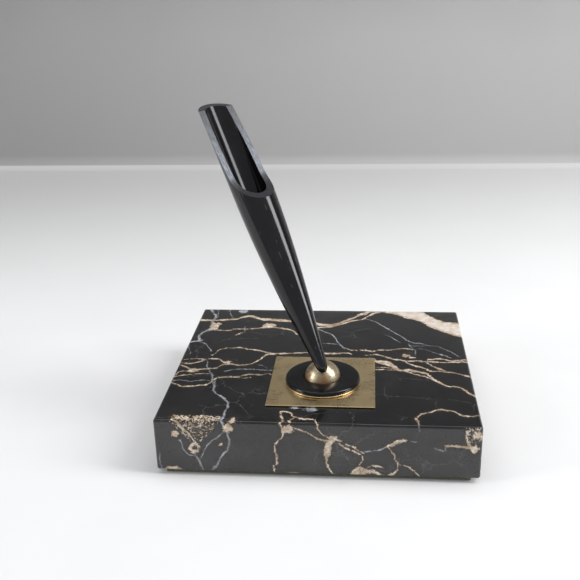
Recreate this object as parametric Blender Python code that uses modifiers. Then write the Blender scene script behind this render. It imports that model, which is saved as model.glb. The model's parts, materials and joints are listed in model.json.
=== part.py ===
"""Desk pen stand: a marble base with a friction ball joint that carries a scooped pen socket.

Units are metres, +Z is up. The origin is the centre of the felt pad's underside.
The front of the stand faces -Y. It is modelled with the socket leaning back to the left.
"""
import math

import bmesh
import bpy
from mathutils import Matrix, Vector
from mathutils.geometry import interpolate_bezier

MM = 0.001

# ---- fits -------------------------------------------------------------------------------
GAP = 0.3 * MM            # clearance between neighbouring solids
THIN_GAP = 0.2 * MM       # clearance in the thin stack under the cap

# ---- base -------------------------------------------------------------------------------
BASE_WIDTH = 114.3 * MM
BASE_DEPTH = 99.6 * MM
BASE_HEIGHT = 20.5 * MM
BASE_EDGE = 0.9 * MM      # rounding of the marble's edges
FELT_THICKNESS = 1.5 * MM
FELT_INSET = 3.0 * MM
FELT_CORNER = 2.5 * MM
BASE_BOTTOM = FELT_THICKNESS + GAP
BASE_TOP = BASE_BOTTOM + BASE_HEIGHT

# ---- plate, rim and cap over the joint -----------------------------------------------------
PIVOT_X = 1.0 * MM
PIVOT_Y = -19.0 * MM
PLATE_SIDE = 39.3 * MM
PLATE_THICKNESS = 0.4 * MM
RIM_RADIUS = 14.25 * MM
RIM_THICKNESS = 0.4 * MM
CAP_RADIUS = 14.0 * MM
CAP_THICKNESS = 1.25 * MM
CAP_EDGE = 0.8 * MM       # rounding of the cap's upper edge
SKIRT_INNER = 8.7 * MM
SKIRT_OUTER = 9.6 * MM
SKIRT_DEPTH = 5.5 * MM
PLATE_BOTTOM = BASE_TOP + THIN_GAP
RIM_BOTTOM = PLATE_BOTTOM + PLATE_THICKNESS + THIN_GAP
CAP_BOTTOM = RIM_BOTTOM + RIM_THICKNESS + THIN_GAP
CAP_TOP = CAP_BOTTOM + CAP_THICKNESS

# ---- ball joint --------------------------------------------------------------------------
BALL_RADIUS = 6.85 * MM
BALL_SEAT_RADIUS = BALL_RADIUS + GAP
PIVOT_Z = CAP_TOP - 0.95 * MM
PIVOT = Vector((PIVOT_X, PIVOT_Y, PIVOT_Z))
HOUSING_OUTER = 8.4 * MM
HOUSING_INNER = 7.2 * MM
HOUSING_FLOOR = 1.2 * MM
WELL_RADIUS = 10.0 * MM   # hole in the marble's top that takes the housing
WELL_DEPTH = 12.3 * MM
WELL_FLOOR = BASE_TOP - WELL_DEPTH
HOUSING_BOTTOM = WELL_FLOOR + GAP
HOUSING_FLOOR_TOP = HOUSING_BOTTOM + HOUSING_FLOOR
RING_THICKNESS = 0.6 * MM
RING_TOP = CAP_BOTTOM - GAP
HOUSING_TOP = RING_TOP - RING_THICKNESS - GAP
SEAT_OUTER = 6.9 * MM
SEAT_INNER = 3.5 * MM
SEAT_BOTTOM = HOUSING_FLOOR_TOP + 3.4 * MM
SEAT_TOP = PIVOT_Z - 5.4 * MM
SPRING_WIRE = 0.35 * MM   # wire radius
SPRING_MEAN = 5.9 * MM
SPRING_TURNS = 2.5
SPRING_BOTTOM = HOUSING_FLOOR_TOP + GAP + SPRING_WIRE
SPRING_TOP = SEAT_BOTTOM - GAP - SPRING_WIRE

# ---- fixing under the base ----------------------------------------------------------------
SCREW_RADIUS = 2.4 * MM
SCREW_HOLE = SCREW_RADIUS + GAP
SCREW_HEAD_RADIUS = 4.2 * MM
SCREW_HEAD_HEIGHT = 1.9 * MM
SCREW_SLOT_WIDTH = 1.0 * MM
SCREW_SLOT_DEPTH = 0.9 * MM
COUNTERBORE_RADIUS = 7.6 * MM
COUNTERBORE_DEPTH = 5.4 * MM
COUNTERBORE_ROOF = BASE_BOTTOM + COUNTERBORE_DEPTH
FIBRE_RADIUS = 7.2 * MM
FIBRE_THICKNESS = 0.6 * MM
WASHER_RADIUS = 6.5 * MM
WASHER_THICKNESS = 0.7 * MM
LOCK_RADIUS = 4.6 * MM
LOCK_THICKNESS = 0.6 * MM
LOCK_SLIT = 0.8 * MM
NUT_ACROSS_FLATS = 8.0 * MM
NUT_THICKNESS = 2.2 * MM

# ---- pen socket ---------------------------------------------------------------------------
SOCKET_HEADING = math.radians(-45.5)   # the side that the socket's scoop faces
SOCKET_LEAN = math.radians(32.6)       # from the vertical, away from the scoop
SOCKET_ROLL = math.radians(-6.25)      # about its own length
SOCKET_OFFSET_X = 7.95 * MM            # socket's axis from the ball's centre, on the scoop's side
SOCKET_OFFSET_Y = -3.1 * MM
NOSE_END = 1.8 * MM                    # heights along the socket's axis, from the ball's centre
NOSE_SHOULDER = 4.0 * MM
NOSE_RADIUS = 2.1 * MM
BARREL_START = 70.0 * MM
BARREL_RADIUS = 7.7 * MM
MOUTH_END = 114.0 * MM
MOUTH_RADIUS = 8.35 * MM
BORE_END = 25.0 * MM
LINER_TOP = 62.0 * MM
LIP_BOTTOM = 69.0 * MM
SCOOP_START = 81.0 * MM
SCOOP_KNEE = 0.15 * MM                 # the scoop turns straight this far before the axis
SCOOP_DEPTH = 3.75 * MM                # how far the scoop's plane passes behind the axis at the mouth
MOUTH_SLOPE = 0.84                     # the slanted mouth's fall across the socket
STUD_REACH = 6.6 * MM                  # where the ball's stud meets the socket's axis
STUD_RADIUS = 1.1 * MM
STUD_HOLE = STUD_RADIUS + 0.2 * MM
STUD_START = 2.0 * MM
STUD_PAST_AXIS = 1.2 * MM

ROUND_STEPS = 48
FINE_STEPS = 64


def clear_scene():
    """Remove every object that the scene starts with."""
    for obj in list(bpy.data.objects):
        bpy.data.objects.remove(obj, do_unlink=True)


def make_collection(name):
    """A new collection under the scene's own."""
    collection = bpy.data.collections.new(name)
    bpy.context.scene.collection.children.link(collection)
    return collection


def make_material(name, colour, roughness, metallic=0.0):
    """A plain Principled material."""
    material = bpy.data.materials.new(name)
    material.use_nodes = True
    shader = material.node_tree.nodes["Principled BSDF"]
    shader.inputs["Base Color"].default_value = (*colour, 1.0)
    shader.inputs["Roughness"].default_value = roughness
    shader.inputs["Metallic"].default_value = metallic
    material.diffuse_color = (*colour, 1.0)
    return material


def add_object(name, mesh, material=None, parts=True):
    """An object from a mesh, in the collection of parts or of cutters."""
    obj = bpy.data.objects.new(name, mesh)
    if parts:
        PARTS.objects.link(obj)
        mesh.materials.append(material)
        mesh.shade_smooth()
        mesh.set_sharp_from_angle(angle=math.radians(35.0))
    else:
        CUTTERS.objects.link(obj)
        obj.hide_render = True
        obj.display_type = 'WIRE'
    return obj


def turned(name, profile, material=None, steps=ROUND_STEPS, parts=True):
    """A solid turned about Z from a profile at +X that runs down its outer side.

    A profile that leaves the axis and comes back to it is a solid of its own. Any other
    profile is closed into a ring.
    """
    on_axis = profile[0][0] == 0.0 and profile[-1][0] == 0.0
    points = [Vector((radius, 0.0, height)) for radius, height in profile]
    edges = [(i, i + 1) for i in range(len(points) - 1)]
    if not on_axis:
        edges.append((len(points) - 1, 0))
    mesh = bpy.data.meshes.new(name)
    mesh.from_pydata(points, edges, [])
    obj = add_object(name, mesh, material, parts)
    screw = obj.modifiers.new("Turn", 'SCREW')
    screw.steps = steps
    screw.render_steps = steps
    screw.use_merge_vertices = True
    screw.merge_threshold = 0.00001
    screw.use_smooth_shade = True
    return obj


def box(name, size, centre, material=None, parts=True):
    """A box of the given size with its centre at a point."""
    mesh = bpy.data.meshes.new(name)
    bm = bmesh.new()
    bmesh.ops.create_cube(bm, size=1.0)
    bmesh.ops.scale(bm, vec=Vector(size), verts=bm.verts)
    bm.to_mesh(mesh)
    bm.free()
    obj = add_object(name, mesh, material, parts)
    obj.location = centre
    return obj


def prism_cutter(name, outline, half_width):
    """A cutter extruded both ways along Y from a closed outline of (x, z) points."""
    curve = bpy.data.curves.new(name, 'CURVE')
    curve.dimensions = '2D'
    curve.fill_mode = 'BOTH'
    curve.extrude = half_width
    spline = curve.splines.new('POLY')
    spline.points.add(len(outline) - 1)
    for point, (x, z) in zip(spline.points, outline):
        point.co = (x, z, 0.0, 1.0)
    spline.use_cyclic_u = True
    guide = bpy.data.objects.new(name, curve)
    CUTTERS.objects.link(guide)
    bpy.context.view_layer.update()
    mesh = bpy.data.meshes.new_from_object(guide.evaluated_get(bpy.context.evaluated_depsgraph_get()))
    bpy.data.objects.remove(guide, do_unlink=True)
    bm = bmesh.new()
    bm.from_mesh(mesh)
    bmesh.ops.remove_doubles(bm, verts=bm.verts, dist=0.000001)
    bmesh.ops.recalc_face_normals(bm, faces=bm.faces)
    # the curve lies in XY: stand it up so that its second axis is Z
    bmesh.ops.transform(bm, matrix=Matrix.Rotation(math.radians(90.0), 4, 'X'), verts=bm.verts)
    bm.to_mesh(mesh)
    bm.free()
    return add_object(name, mesh, parts=False)


def cut(obj, cutter):
    """Take the cutter's shape out of an object."""
    boolean = obj.modifiers.new("Cut " + cutter.name, 'BOOLEAN')
    boolean.operation = 'DIFFERENCE'
    boolean.solver = 'EXACT'
    boolean.object = cutter


def round_edges(obj, width, segments):
    """Round an object's sharp edges."""
    bevel = obj.modifiers.new("Round", 'BEVEL')
    bevel.width = width
    bevel.segments = segments
    bevel.limit_method = 'ANGLE'


def arc(centre, radius, start, end, count):
    """Points along an arc in the (radius, height) plane, angles in degrees from +X."""
    points = []
    for i in range(count + 1):
        angle = math.radians(start + (end - start) * i / count)
        points.append((centre[0] + radius * math.cos(angle), centre[1] + radius * math.sin(angle)))
    return points


def bezier(start, start_handle, end_handle, end, count):
    """Points along a Bezier curve in the (radius, height) plane."""
    corners = [Vector((*p, 0.0)) for p in (start, start_handle, end_handle, end)]
    return [(p.x, p.y) for p in interpolate_bezier(*corners, count + 1)]


def on_pivot_axis(obj):
    """Centre a turned piece, drawn at world heights, on the joint's vertical axis."""
    obj.location = (PIVOT_X, PIVOT_Y, 0.0)


def washer_profile(inner, outer, bottom, thickness):
    """Profile of a plain ring."""
    top = bottom + thickness
    return [(inner, top), (outer, top), (outer, bottom), (inner, bottom)]


def make_base(marble):
    """Marble slab, bored from above for the ball's housing and from below for the nut."""
    centre = (0.0, 0.0, BASE_BOTTOM + BASE_HEIGHT / 2)
    slab = box("marble_base", (BASE_WIDTH, BASE_DEPTH, BASE_HEIGHT), centre, marble)
    round_edges(slab, BASE_EDGE, 3)
    outline = [
        (0.0, BASE_TOP + WELL_RADIUS),
        (WELL_RADIUS, BASE_TOP + WELL_RADIUS),
        (WELL_RADIUS, WELL_FLOOR),
        (SCREW_HOLE, WELL_FLOOR),
        (SCREW_HOLE, COUNTERBORE_ROOF),
        (COUNTERBORE_RADIUS, COUNTERBORE_ROOF),
        (COUNTERBORE_RADIUS, 0.0),
        (0.0, 0.0),
    ]
    bore = turned("base_bore", outline, parts=False)
    on_pivot_axis(bore)
    cut(slab, bore)


def make_felt(felt):
    """Felt pad glued under the slab, a little inside its edges."""
    size = (BASE_WIDTH - 2 * FELT_INSET, BASE_DEPTH - 2 * FELT_INSET, FELT_THICKNESS)
    pad = box("felt_pad", size, (0.0, 0.0, FELT_THICKNESS / 2), felt)
    bm = bmesh.new()
    bm.from_mesh(pad.data)
    corners = [e for e in bm.edges if abs(e.verts[0].co.z - e.verts[1].co.z) > FELT_THICKNESS / 2]
    bmesh.ops.bevel(bm, geom=corners, offset=FELT_CORNER, segments=5, affect='EDGES')
    bm.to_mesh(pad.data)
    bm.free()


def make_plate(brass):
    """Square brass plate under the cap, with a hole for the housing and skirt."""
    centre = (PIVOT_X, PIVOT_Y, PLATE_BOTTOM + PLATE_THICKNESS / 2)
    plate = box("brass_plate", (PLATE_SIDE, PLATE_SIDE, PLATE_THICKNESS), centre, brass)
    hole = turned(
        "plate_hole",
        [(0.0, CAP_TOP), (WELL_RADIUS, CAP_TOP), (WELL_RADIUS, WELL_FLOOR), (0.0, WELL_FLOOR)],
        parts=False,
    )
    on_pivot_axis(hole)
    cut(plate, hole)


def make_rim(gold):
    """Thin polished ring that shows under the cap's edge."""
    profile = washer_profile(WELL_RADIUS, RIM_RADIUS, RIM_BOTTOM, RIM_THICKNESS)
    rim = turned("rim_ring", profile, gold, FINE_STEPS)
    on_pivot_axis(rim)


def make_cap(black):
    """Round cap: a thin disc whose ball opening holds the ball down, and a threaded skirt."""
    half_opening = math.degrees(math.asin((CAP_TOP - PIVOT_Z) / BALL_SEAT_RADIUS))
    half_under = math.degrees(math.asin((CAP_BOTTOM - PIVOT_Z) / BALL_SEAT_RADIUS))
    outer = arc((CAP_RADIUS - CAP_EDGE, CAP_TOP - CAP_EDGE), CAP_EDGE, 90.0, 0.0, 5)
    under = [
        (CAP_RADIUS, CAP_BOTTOM),
        (SKIRT_OUTER, CAP_BOTTOM),
        (SKIRT_OUTER, CAP_BOTTOM - SKIRT_DEPTH),
        (SKIRT_INNER, CAP_BOTTOM - SKIRT_DEPTH),
        (SKIRT_INNER, CAP_BOTTOM),
    ]
    opening = arc((0.0, PIVOT_Z), BALL_SEAT_RADIUS, half_under, half_opening, 4)
    cap = turned("escutcheon_cap", outer + under + opening, black, FINE_STEPS)
    on_pivot_axis(cap)


def make_housing(brass):
    """Cup that holds the ball, its seat and its spring, with a hole in its floor."""
    profile = [
        (HOUSING_INNER, HOUSING_TOP),
        (HOUSING_OUTER, HOUSING_TOP),
        (HOUSING_OUTER, HOUSING_BOTTOM),
        (SCREW_HOLE, HOUSING_BOTTOM),
        (SCREW_HOLE, HOUSING_FLOOR_TOP),
        (HOUSING_INNER, HOUSING_FLOOR_TOP),
    ]
    on_pivot_axis(turned("ball_housing", profile, brass))


def make_friction_ring(nylon):
    """Nylon ring between the housing's top and the cap."""
    bottom = HOUSING_TOP + GAP
    profile = washer_profile(HOUSING_INNER, HOUSING_OUTER, bottom, RING_THICKNESS)
    on_pivot_axis(turned("friction_ring", profile, nylon))


def make_seat(nylon):
    """Seat under the ball, pushed up by the spring. It turns with the ball."""
    start = math.degrees(math.acos(SEAT_INNER / BALL_SEAT_RADIUS))
    end = math.degrees(math.asin((PIVOT_Z - SEAT_TOP) / BALL_SEAT_RADIUS))
    hollow = arc((0.0, 0.0), BALL_SEAT_RADIUS, -start, -end, 6)
    top = SEAT_TOP - PIVOT_Z
    bottom = SEAT_BOTTOM - PIVOT_Z
    outside = [(SEAT_OUTER, top), (SEAT_OUTER, bottom), (SEAT_INNER, bottom)]
    seat = turned("ball_seat", outside + hollow, nylon)
    seat.location = PIVOT


def make_spring(steel):
    """Coil spring between the housing's floor and the seat."""
    per_turn = 20
    count = int(SPRING_TURNS * per_turn)
    curve = bpy.data.curves.new("seat_spring", 'CURVE')
    curve.dimensions = '3D'
    curve.bevel_depth = SPRING_WIRE
    curve.bevel_resolution = 2
    curve.use_fill_caps = True
    spline = curve.splines.new('POLY')
    spline.points.add(count)
    for i, point in enumerate(spline.points):
        angle = 2 * math.pi * i / per_turn
        height = SPRING_BOTTOM + (SPRING_TOP - SPRING_BOTTOM) * i / count
        point.co = (SPRING_MEAN * math.cos(angle), SPRING_MEAN * math.sin(angle), height, 1.0)
    curve.materials.append(steel)
    spring = bpy.data.objects.new("seat_spring", curve)
    PARTS.objects.link(spring)
    on_pivot_axis(spring)


def make_screw(steel):
    """Slotted screw from inside the housing down to the nut."""
    head_bottom = HOUSING_FLOOR_TOP + GAP
    head_top = head_bottom + SCREW_HEAD_HEIGHT
    end = BASE_BOTTOM + GAP
    profile = [
        (0.0, head_top),
        (SCREW_HEAD_RADIUS * 0.8, head_top),
        (SCREW_HEAD_RADIUS, head_top - 0.5 * MM),
        (SCREW_HEAD_RADIUS, head_bottom),
        (SCREW_RADIUS, head_bottom),
        (SCREW_RADIUS, end + 0.4 * MM),
        (SCREW_RADIUS - 0.4 * MM, end),
        (0.0, end),
    ]
    screw = turned("mounting_screw", profile, steel, 32)
    on_pivot_axis(screw)
    size = (4 * SCREW_HEAD_RADIUS, SCREW_SLOT_WIDTH, 2 * SCREW_SLOT_DEPTH)
    cut(screw, box("screw_slot", size, (PIVOT_X, PIVOT_Y, head_top), parts=False))


def make_nut_stack(fibre, steel):
    """Fibre washer, steel washer, split lock washer and hex nut in the counterbore."""
    height = COUNTERBORE_ROOF
    rings = [
        ("fibre_washer", FIBRE_RADIUS, FIBRE_THICKNESS, fibre),
        ("steel_washer", WASHER_RADIUS, WASHER_THICKNESS, steel),
        ("lock_washer", LOCK_RADIUS, LOCK_THICKNESS, steel),
    ]
    for name, radius, thickness, material in rings:
        height -= GAP + thickness
        ring = turned(name, washer_profile(SCREW_HOLE, radius, height, thickness), material, 32)
        on_pivot_axis(ring)
    slit_centre = (PIVOT_X + LOCK_RADIUS, PIVOT_Y, height)
    slit = box("lock_slit", (LOCK_RADIUS, LOCK_SLIT, 4 * LOCK_THICKNESS), slit_centre, parts=False)
    cut(bpy.data.objects["lock_washer"], slit)
    height -= THIN_GAP + NUT_THICKNESS

    mesh = bpy.data.meshes.new("hex_nut")
    bm = bmesh.new()
    corner = NUT_ACROSS_FLATS / 2 / math.cos(math.radians(30.0))
    bmesh.ops.create_cone(
        bm, cap_ends=True, segments=6, radius1=corner, radius2=corner, depth=NUT_THICKNESS
    )
    bm.to_mesh(mesh)
    bm.free()
    nut = add_object("hex_nut", mesh, steel)
    nut.location = (PIVOT_X, PIVOT_Y, height + NUT_THICKNESS / 2)
    hole = turned(
        "nut_hole",
        [(0.0, COUNTERBORE_ROOF), (SCREW_HOLE, COUNTERBORE_ROOF), (SCREW_HOLE, 0.0), (0.0, 0.0)],
        steps=32,
        parts=False,
    )
    on_pivot_axis(hole)
    cut(nut, hole)


def socket_frame():
    """Empty at the ball's centre: +Z along the socket, +X on the side that the scoop faces."""
    pivot = bpy.data.objects.new("socket_pivot", None)
    PARTS.objects.link(pivot)
    turn = Matrix.Rotation(SOCKET_HEADING, 4, 'Z')
    lean = Matrix.Rotation(-SOCKET_LEAN, 4, 'Y')
    roll = Matrix.Rotation(SOCKET_ROLL, 4, 'Z')
    pivot.matrix_world = Matrix.Translation(PIVOT) @ turn @ lean @ roll
    return pivot


def stud_direction():
    """Unit vector from the ball's centre along its stud, in the socket's frame."""
    return Vector((SOCKET_OFFSET_X, SOCKET_OFFSET_Y, STUD_REACH)).normalized()


def stud_turn():
    """Rotation that takes +Z to the stud's direction, in the socket's frame."""
    return stud_direction().to_track_quat('Z', 'X')


def stud_hole(name, pivot):
    """Cutter for the stud's hole, from just past its inner end to just past its outer end."""
    reach = Vector((SOCKET_OFFSET_X, SOCKET_OFFSET_Y, STUD_REACH)).length + STUD_PAST_AXIS + GAP
    start = STUD_START - GAP
    profile = [(0.0, reach), (STUD_HOLE, reach), (STUD_HOLE, start), (0.0, start)]
    hole = turned(name, profile, steps=24, parts=False)
    hole.rotation_mode = 'QUATERNION'
    hole.rotation_quaternion = stud_turn()
    hole.parent = pivot
    return hole


def make_ball(gold, pivot):
    """Ball with a blind hole for its stud."""
    between_poles = arc((0.0, 0.0), BALL_RADIUS, 90.0, -90.0, 32)[1:-1]
    profile = [(0.0, BALL_RADIUS)] + between_poles + [(0.0, -BALL_RADIUS)]
    ball = turned("swivel_ball", profile, gold, FINE_STEPS)
    ball.parent = pivot
    cut(ball, stud_hole("ball_hole", pivot))


def make_stud(steel, pivot):
    """Threaded stud that joins the ball and the socket."""
    reach = Vector((SOCKET_OFFSET_X, SOCKET_OFFSET_Y, STUD_REACH)).length + STUD_PAST_AXIS
    profile = [(0.0, reach), (STUD_RADIUS, reach), (STUD_RADIUS, STUD_START), (0.0, STUD_START)]
    stud = turned("ball_stud", profile, steel, 24)
    stud.rotation_mode = 'QUATERNION'
    stud.rotation_quaternion = stud_turn()
    stud.parent = pivot


def outer_profile():
    """Outside of the socket from its mouth down to its bullet-shaped nose."""
    barrel = [(0.0, MOUTH_END), (MOUTH_RADIUS, MOUTH_END)]
    taper = bezier(
        (BARREL_RADIUS, BARREL_START),
        (BARREL_RADIUS - 0.5 * MM, BARREL_START - 22.0 * MM),
        (5.2 * MM, 29.0 * MM),
        (NOSE_RADIUS, NOSE_SHOULDER),
        14,
    )
    nose = bezier(
        (NOSE_RADIUS, NOSE_SHOULDER),
        (NOSE_RADIUS * 0.8, NOSE_SHOULDER - 1.5 * MM),
        (NOSE_RADIUS * 0.45, NOSE_END),
        (0.0, NOSE_END),
        5,
    )
    return barrel + taper + nose[1:]


def bore_profile():
    """Bore of the socket: a straight mouth, a taper for the nib and a blunt end."""
    return [
        (0.0, MOUTH_END + 5.0 * MM),
        (6.0 * MM, MOUTH_END + 5.0 * MM),
        (5.4 * MM, 75.0 * MM),
        (5.1 * MM, LINER_TOP),
        (4.5 * MM, 48.0 * MM),
        (3.0 * MM, BORE_END + 1.0 * MM),
        (2.0 * MM, BORE_END),
        (0.0, BORE_END),
    ]


def scoop_outline():
    """Outline, in the socket's XZ plane, of what the scoop and the slanted mouth take away."""
    outside = 12.0 * MM
    lip = bezier(
        (9.5 * MM, LIP_BOTTOM - 1.8 * MM),
        (4.5 * MM, LIP_BOTTOM + 3.8 * MM),
        (1.2 * MM, SCOOP_START - 5.0 * MM),
        (SCOOP_KNEE, SCOOP_START),
        10,
    )
    corner_height = MOUTH_END - MOUTH_SLOPE * (MOUTH_RADIUS - SCOOP_DEPTH)
    back_height = MOUTH_END + MOUTH_SLOPE * (outside - MOUTH_RADIUS)
    top = [(-SCOOP_DEPTH, corner_height), (-outside, back_height), (-outside, MOUTH_END + outside)]
    return lip + top + [(outside, MOUTH_END + outside), (outside, LIP_BOTTOM - 1.8 * MM)]


def make_socket(black, pivot):
    """Tapered tube with a bullet nose, scooped open at its upper end for the pen."""
    socket = turned("pen_socket", outer_profile(), black, ROUND_STEPS)
    bore = turned("socket_bore", bore_profile(), steps=ROUND_STEPS, parts=False)
    scoop = prism_cutter("socket_scoop", scoop_outline(), 12.0 * MM)
    for obj in (socket, bore, scoop):
        obj.parent = pivot
        obj.location = (SOCKET_OFFSET_X, SOCKET_OFFSET_Y, 0.0)
    cut(socket, bore)
    cut(socket, scoop)
    cut(socket, stud_hole("socket_stud_hole", pivot))


def make_liner(nylon, pivot):
    """Thin sleeve in the bore that keeps air from the nib."""
    wall = 0.6 * MM
    top = LINER_TOP - GAP
    knee = 48.0 * MM
    foot = BORE_END + 3.0 * MM
    outer = [(5.1 * MM - GAP, top), (4.5 * MM - GAP, knee), (3.1 * MM - GAP, foot)]
    inner = [(radius - wall, height) for radius, height in reversed(outer)]
    liner = turned("nib_liner", outer + inner, nylon, 32)
    liner.parent = pivot
    liner.location = (SOCKET_OFFSET_X, SOCKET_OFFSET_Y, 0.0)


clear_scene()
PARTS = make_collection("desk_pen_stand")
CUTTERS = make_collection("cutters")

MARBLE = make_material("marble", (0.030, 0.030, 0.034), 0.18)
FELT = make_material("felt", (0.075, 0.085, 0.045), 0.95)
BRASS = make_material("satin_brass", (0.55, 0.44, 0.24), 0.35, 1.0)
GOLD = make_material("polished_brass", (0.80, 0.62, 0.32), 0.15, 1.0)
BLACK = make_material("black_gloss", (0.012, 0.012, 0.014), 0.12)
NYLON = make_material("nylon", (0.70, 0.69, 0.63), 0.50)
STEEL = make_material("steel", (0.55, 0.55, 0.56), 0.30, 1.0)
FIBRE = make_material("fibre", (0.30, 0.12, 0.06), 0.80)

make_base(MARBLE)
make_felt(FELT)
make_plate(BRASS)
make_rim(GOLD)
make_cap(BLACK)
make_housing(BRASS)
make_friction_ring(NYLON)
make_seat(NYLON)
make_spring(STEEL)
make_screw(STEEL)
make_nut_stack(FIBRE, STEEL)

PIVOT_EMPTY = socket_frame()
make_ball(GOLD, PIVOT_EMPTY)
make_stud(STEEL, PIVOT_EMPTY)
make_socket(BLACK, PIVOT_EMPTY)
make_liner(NYLON, PIVOT_EMPTY)
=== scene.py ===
"""Looks of a desk pen stand: veined marble base, brass plate, ball joint and scooped pen socket."""
import json
import math

import bmesh
import bpy
from mathutils import Matrix, Vector, noise
from mathutils.geometry import interpolate_bezier


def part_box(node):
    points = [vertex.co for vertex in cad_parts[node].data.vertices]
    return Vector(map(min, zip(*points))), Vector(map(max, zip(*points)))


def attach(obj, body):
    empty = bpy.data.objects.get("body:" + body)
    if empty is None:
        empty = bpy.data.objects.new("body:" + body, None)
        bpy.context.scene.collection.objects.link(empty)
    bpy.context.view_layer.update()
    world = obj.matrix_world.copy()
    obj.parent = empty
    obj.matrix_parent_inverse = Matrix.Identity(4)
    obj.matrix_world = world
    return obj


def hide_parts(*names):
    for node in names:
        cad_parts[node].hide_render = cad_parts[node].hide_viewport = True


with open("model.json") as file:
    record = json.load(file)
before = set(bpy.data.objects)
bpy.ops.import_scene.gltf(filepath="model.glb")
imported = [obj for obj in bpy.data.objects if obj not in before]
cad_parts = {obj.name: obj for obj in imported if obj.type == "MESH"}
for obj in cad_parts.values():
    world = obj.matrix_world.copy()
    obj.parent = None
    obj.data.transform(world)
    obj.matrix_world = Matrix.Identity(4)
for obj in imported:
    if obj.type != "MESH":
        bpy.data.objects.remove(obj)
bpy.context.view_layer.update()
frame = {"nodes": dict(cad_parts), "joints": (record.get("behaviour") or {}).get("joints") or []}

MM = 0.001

# ======== sizes, from the frame and the same design numbers as the CAD ========
SLAB_LOW, SLAB_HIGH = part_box("marble_base")
PIVOT = Vector(next(j for j in frame["joints"] if j["name"] == "swivel")["pos_m"])
SLAB_TOP = SLAB_HIGH.z
PIVOT_COLUMN = Matrix.Translation((PIVOT.x, PIVOT.y, 0.0))
WELL_RADIUS = 10.0 * MM          # the ball joint's well in the slab and the holes above it
STUD_HOLE_RADIUS = 1.3 * MM      # in the ball and in the socket's nose
STUD_HOLE_FOOT = 1.7 * MM        # from the ball's centre, along the stud
STUD_AXIS = Vector((7.95, -3.1, 6.6))    # in mm, in the socket's own directions
HEADING = math.radians(-45.5)
LEAN = math.radians(32.6)
ROLL = math.radians(-6.25)
SOCKET_FRAME = (
    Matrix.Translation(PIVOT)
    @ Matrix.Rotation(HEADING, 4, 'Z')
    @ Matrix.Rotation(-LEAN, 4, 'Y')
    @ Matrix.Rotation(ROLL, 4, 'Z')
)
BALL_FRAME = SOCKET_FRAME @ STUD_AXIS.to_track_quat('Z', 'X').to_matrix().to_4x4()
TUBE_FRAME = SOCKET_FRAME @ Matrix.Translation(Vector((STUD_AXIS.x, STUD_AXIS.y, 0.0)) * MM)


# ======== mesh helpers ========
def in_mm(*points):
    """Points of a profile, written in mm."""
    return [(x * MM, y * MM) for x, y in points]


def rod(radius, low, high):
    """The profile of a plain round rod."""
    return [(0.0, high), (radius, high), (radius, low), (0.0, low)]


def arc(centre, radius, start, end, count):
    """Points along an arc, angles in degrees."""
    points = []
    for i in range(count + 1):
        angle = math.radians(start + (end - start) * i / count)
        points.append((centre[0] + radius * math.cos(angle), centre[1] + radius * math.sin(angle)))
    return points


def bezier(start, start_handle, end_handle, end, count):
    """Points along a Bezier curve in a plane."""
    corners = [Vector((*p, 0.0)) for p in (start, start_handle, end_handle, end)]
    return [(p.x, p.y) for p in interpolate_bezier(*corners, count + 1)]


def eased(profile, radius):
    """A closed profile with each of its corners rounded."""
    nearly_straight = math.radians(150.0)
    steps = 3
    out = []
    total = len(profile)
    for i, corner in enumerate(profile):
        here = Vector(corner)
        before = Vector(profile[i - 1]) - here
        after = Vector(profile[(i + 1) % total]) - here
        if before.angle(after) > nearly_straight:
            out.append(tuple(here))
            continue
        reach = min(radius, 0.45 * before.length, 0.45 * after.length)
        a = here + before.normalized() * reach
        b = here + after.normalized() * reach
        for k in range(steps + 1):
            t = k / steps
            out.append(tuple(a * (1 - t) ** 2 + here * 2 * t * (1 - t) + b * t * t))
    return out


def lathe(profile, segments, closed=True):
    """A turned bmesh. An open profile starts and ends on the axis."""
    bm = bmesh.new()
    rings = []
    for radius, height in profile:
        if radius < 1e-7:
            rings.append([bm.verts.new((0.0, 0.0, height))])
            continue
        ring = []
        for k in range(segments):
            angle = 2 * math.pi * k / segments
            ring.append(bm.verts.new((radius * math.cos(angle), radius * math.sin(angle), height)))
        rings.append(ring)
    pairs = list(zip(rings, rings[1:]))
    if closed:
        pairs.append((rings[-1], rings[0]))
    for a, b in pairs:
        for k in range(segments):
            n = (k + 1) % segments
            if len(a) == 1 and len(b) == 1:
                break
            if len(a) == 1:
                bm.faces.new((a[0], b[k], b[n]))
            elif len(b) == 1:
                bm.faces.new((a[k], b[0], a[n]))
            else:
                bm.faces.new((a[k], b[k], b[n], a[n]))
    bmesh.ops.recalc_face_normals(bm, faces=bm.faces)
    return bm


def spread(half, radius, step):
    """Coordinates along one side of a rounded box: close together round its edges."""
    inner = half - radius
    count = max(2, round(2 * inner / step))
    flat = [-inner + 2 * inner * i / count for i in range(count + 1)]
    rim = [radius * t for t in (0.2, 0.42, 0.68, 1.0)]
    return [-inner - t for t in reversed(rim)] + flat + [inner + t for t in rim]


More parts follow.
